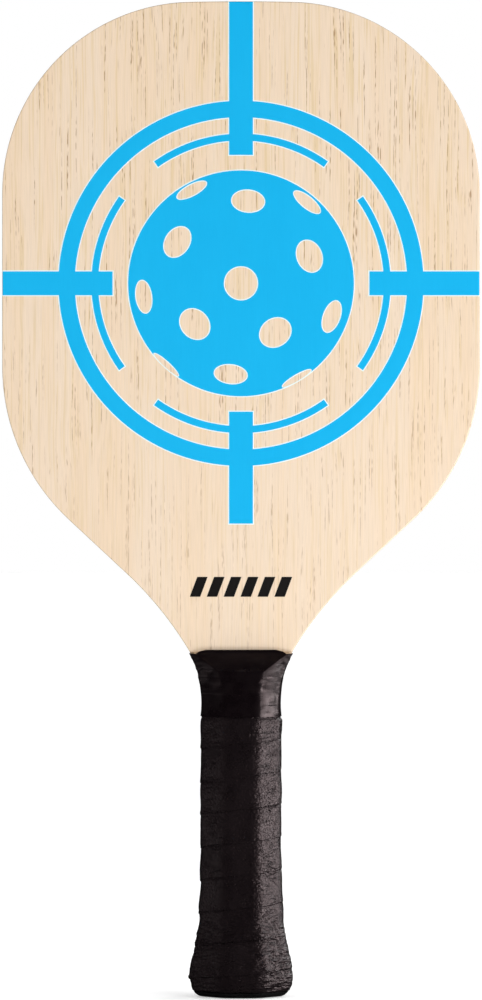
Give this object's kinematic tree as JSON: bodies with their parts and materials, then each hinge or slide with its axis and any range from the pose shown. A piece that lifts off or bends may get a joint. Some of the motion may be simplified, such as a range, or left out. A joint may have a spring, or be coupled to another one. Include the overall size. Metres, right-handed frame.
{
  "type": "pickleball paddle",
  "caption": "Flat laminated wooden paddle with a wide rounded blade, a ring target printed on both faces and a short octagonal handle wound with a black cushion grip.",
  "frame": {"origin": "centre of the butt's flat end face", "axes": "+Z along the handle to the blade's tip, +X across the blade, -Y out of the front face"},
  "size_m": [0.192, 0.0392, 0.4],
  "materials": {
    "face_wood": "pale fine-grained veneer, satin clear coat",
    "long_wood": "pale veneer with its grain along the handle, bare sawn edge",
    "cross_wood": "veneer with its grain across the handle, so end grain shows at the side edges",
    "handle_wood": "shaped bare wood",
    "blue_ink": "screen-printed satin ink",
    "black_ink": "screen-printed satin ink",
    "cap_plastic": "moulded satin plastic",
    "staple_steel": "plated square wire",
    "cushion_grip": "synthetic leather with fine grain, satin",
    "tape_vinyl": "smooth glossy vinyl tape"
  },
  "bodies": {
    "root": {"ply_1_front_face": "face_wood", "ply_2_cross": "cross_wood", "ply_3_long": "long_wood", "ply_4_core": "cross_wood", "ply_5_long": "long_wood", "ply_6_cross": "cross_wood", "ply_7_back_face": "face_wood", "front_target_print": "blue_ink", "front_neck_print": "black_ink", "back_target_print": "blue_ink", "back_neck_print": "black_ink", "handle_scale_front": "handle_wood", "handle_scale_back": "handle_wood", "butt_cap": "cap_plastic", "butt_cap_staples": "staple_steel", "grip_wrap": "cushion_grip", "finishing_tape": "tape_vinyl"}
  },
  "joints": []
}
